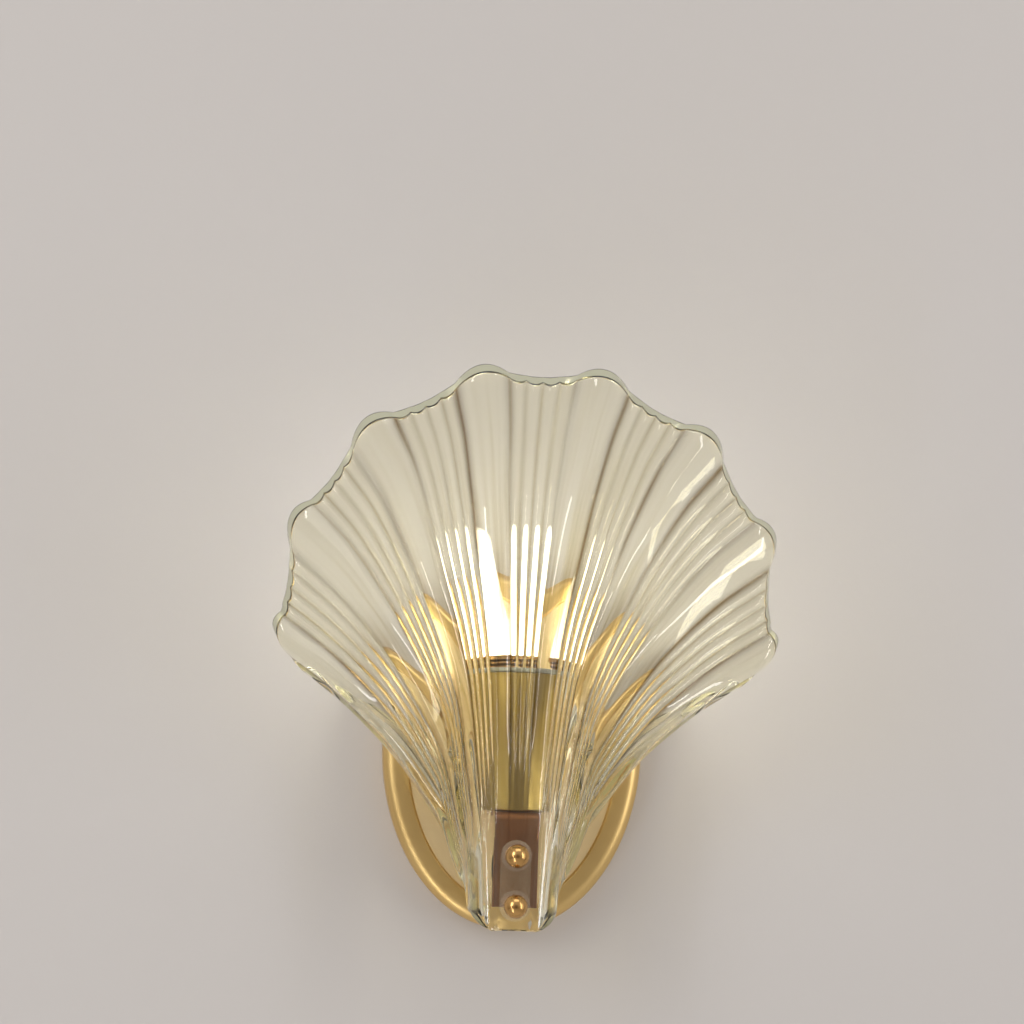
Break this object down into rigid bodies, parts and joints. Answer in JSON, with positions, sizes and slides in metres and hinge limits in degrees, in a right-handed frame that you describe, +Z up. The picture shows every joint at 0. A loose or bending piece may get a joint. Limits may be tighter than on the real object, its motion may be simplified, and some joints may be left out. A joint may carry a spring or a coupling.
{
  "type": "shell wall sconce",
  "caption": "Wall light with a fan-shaped ribbed amber glass shell held by ball cap nuts on a strip bracket, before an upright bulb and an oval brass wall plate.",
  "frame": {"origin": "middle of the two wall screw holes in the crossbar, on the wall plane", "axes": "+Z up, +Y into the wall, so the front of the lamp faces -Y and +X is to the viewer's right"},
  "size_m": [0.2442, 0.1545, 0.2675],
  "materials": {
    "satin_brass": "satin brushed brass",
    "polished_brass": "polished brass",
    "shaded_brass": "darkened brushed brass",
    "plated_steel": "zinc plated steel",
    "amber_glass": "pale amber pressed glass",
    "bulb_glass": "clear bulb cover",
    "clear_silicone": "clear silicone",
    "holder_white": "white glazed holder body",
    "led_board": "white circuit board",
    "led_light": "lit yellow-white LED lens",
    "lead_cover": "black cable cover",
    "wire_cover": "brown wire cover",
    "black_rubber": "black rubber",
    "block_white": "white terminal block"
  },
  "bodies": {
    "lamp": {"backplate": "satin_brass", "wall_crossbar": "plated_steel", "plate_edge_screws": "polished_brass", "earth_screw": "plated_steel", "strip_bracket": "shaded_brass", "bracket_screws": "polished_brass", "bracket_nuts": "plated_steel", "shell_glass": "amber_glass", "glass_gasket": "clear_silicone", "stud_sleeves": "clear_silicone", "glass_washers": "clear_silicone", "glass_studs": "polished_brass", "stud_nuts": "plated_steel", "holder_nipple": "polished_brass", "nipple_nut": "polished_brass", "holder_cup": "satin_brass", "cup_ring": "plated_steel", "lock_washer": "plated_steel", "lamp_holder": "holder_white", "holder_screw_shell": "polished_brass", "centre_contact": "polished_brass", "cable_grommet": "black_rubber", "lamp_lead": "lead_cover", "terminal_block": "block_white", "terminal_screws": "plated_steel", "inner_wires": "wire_cover"},
    "bulb": {"bulb_tip": "polished_brass", "bulb_cap": "polished_brass", "bulb_housing": "satin_brass", "led_column": "led_board", "led_chips": "led_light", "bulb_cover": "bulb_glass"},
    "upper_nut": {"upper_cap_nut": "polished_brass"},
    "lower_nut": {"lower_cap_nut": "polished_brass"}
  },
  "joints": [
    {"name": "bulb_turn", "type": "hinge", "parent": "lamp", "child": "bulb", "pos_m": [0, -0.05, 0.04], "axis": [0, 0, 1], "continuous": true},
    {"name": "upper_nut_turn", "type": "hinge", "parent": "lamp", "child": "upper_nut", "pos_m": [0, -0.08, -0.052], "axis": [0, -1, 0], "continuous": true},
    {"name": "lower_nut_turn", "type": "hinge", "parent": "lamp", "child": "lower_nut", "pos_m": [0, -0.08, -0.076], "axis": [0, -1, 0], "continuous": true}
  ]
}
